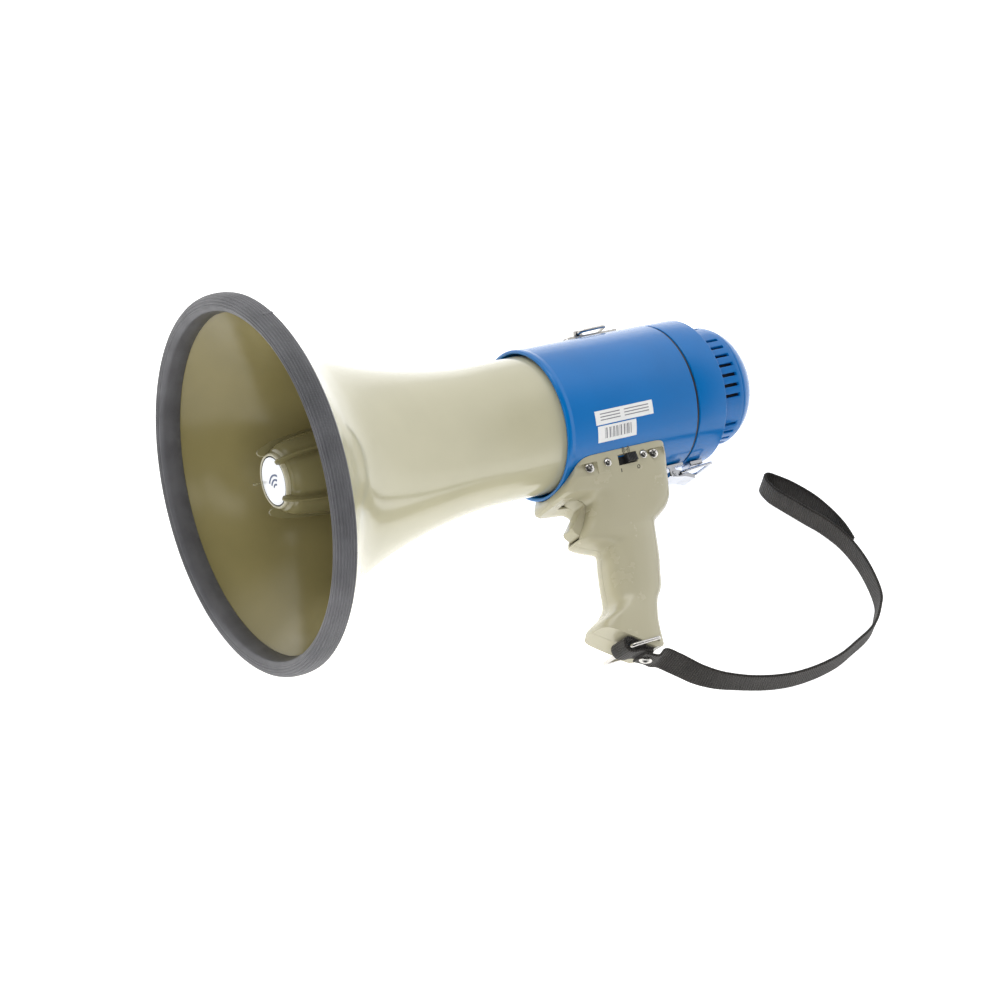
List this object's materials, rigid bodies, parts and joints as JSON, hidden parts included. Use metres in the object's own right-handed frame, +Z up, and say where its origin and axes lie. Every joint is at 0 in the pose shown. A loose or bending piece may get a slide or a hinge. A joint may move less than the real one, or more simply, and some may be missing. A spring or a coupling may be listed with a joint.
{
  "type": "handheld megaphone",
  "caption": "Handheld megaphone: flared re-entrant horn with a rubber rim, cylindrical battery housing, pistol grip with talk trigger, siren slide switch, draw latch and a webbing wrist strap.",
  "frame": {"origin": "centre of the footprint's bounding box, on the surface the megaphone lies on", "axes": "+Z up as the megaphone lies on its right side; the horn's axis runs in the X-Z plane with the mouth toward -X; the grip points toward -Y"},
  "size_m": [0.4051, 0.3181, 0.228],
  "materials": {
    "cream": "moulded ivory plastic, semi-gloss",
    "blue": "moulded blue plastic, glossy",
    "beige": "moulded beige plastic, semi-gloss",
    "rubber": "ribbed black rubber",
    "black": "matte",
    "nickel": "nickel plated",
    "steel": "plain",
    "ferrite": "sintered magnet",
    "badge": "printed disc, plain",
    "board": "circuit laminate",
    "cell": "wrapped dry cell",
    "foam": "open-cell foam",
    "webbing": "woven webbing"
  },
  "bodies": {
    "megaphone": {"badge_disc": "badge", "barrel_housing": "blue", "battery_cell_1": "cell", "battery_cell_2": "cell", "battery_cell_3": "cell", "battery_cell_4": "cell", "battery_cell_5": "cell", "battery_cell_6": "cell", "battery_tray": "black", "bracket_screw_1": "nickel", "bracket_screw_2": "nickel", "bullet_spider": "beige", "circuit_board": "board", "driver_diaphragm": "steel", "driver_magnet": "ferrite", "driver_pole": "steel", "driver_yoke": "steel", "grip_left_shell": "beige", "grip_right_shell": "beige", "horn_bell": "cream", "latch_base": "nickel", "latch_pin": "nickel", "reflex_bullet": "cream", "rim_trim": "rubber", "saddle_screw_1": "nickel", "saddle_screw_2": "nickel", "seam_gasket": "black", "siren_switch_body": "steel", "strap_rivet": "nickel", "strap_tab": "webbing", "switch_screw_1": "nickel", "switch_screw_2": "nickel", "talk_switch": "black", "throat_tube": "beige", "top_bracket": "nickel", "trigger_pin": "steel", "trigger_spring": "steel", "volume_potentiometer": "steel", "wrist_strap": "webbing"},
    "trigger": {"trigger": "beige"},
    "siren_knob": {"siren_switch_knob": "black"},
    "rear_end": {"rear_cap": "blue", "mic_collar": "blue", "mic_dome": "blue", "mic_foam": "foam", "mic_capsule": "steel", "latch_hook": "nickel"},
    "latch_lever": {"latch_lever": "nickel"},
    "latch_loop": {"latch_loop": "nickel"},
    "strap_ring": {"top_d_ring": "nickel"},
    "volume_knob": {"volume_knob": "black"},
    "wire_bail": {"foot_bail": "nickel"}
  },
  "joints": [
    {"name": "trigger_pull", "type": "hinge", "parent": "megaphone", "child": "trigger", "pos_m": [0.03832, -0.03113, 0.05228], "axis": [0.2, -0.3266, 0.9237], "range_deg": [0, 8], "stiffness_Nm_per_rad": 0.6, "springref_deg": -8.59, "deforming": ["trigger_spring"]},
    {"name": "siren_slide", "type": "slide", "parent": "megaphone", "child": "siren_knob", "axis": [-0.9774, 0, 0.2116], "range_m": [0, 0.0056]},
    {"name": "rear_end_pull", "type": "slide", "parent": "megaphone", "child": "rear_end", "axis": [0.9774, 0, -0.2116], "range_m": [0, 0.012]},
    {"name": "latch_throw", "type": "hinge", "parent": "megaphone", "child": "latch_lever", "pos_m": [0.11082, -0.03009, 0.03694], "axis": [-0.2, 0.3266, -0.9237], "range_deg": [0, 95]},
    {"name": "latch_loop_swing", "type": "hinge", "parent": "latch_lever", "child": "latch_loop", "pos_m": [0.11661, -0.03103, 0.03536], "axis": [-0.2, 0.3266, -0.9237], "range_deg": [0, 30]},
    {"name": "strap_ring_swing", "type": "hinge", "parent": "megaphone", "child": "strap_ring", "pos_m": [0.08997, 0.06972, 0.07675], "axis": [0.2, -0.3266, 0.9237], "range_deg": [0, 120]},
    {"name": "volume_turn", "type": "hinge", "parent": "megaphone", "child": "volume_knob", "pos_m": [0.05521, -0.01612, 0.01452], "axis": [-0.2, 0.3266, -0.9237], "range_deg": [0, 270]},
    {"name": "bail_swing", "type": "hinge", "parent": "megaphone", "child": "wire_bail", "pos_m": [0.03963, -0.12687, 0.01814], "axis": [-0.2, 0.3266, -0.9237], "range_deg": [0, 8]}
  ]
}
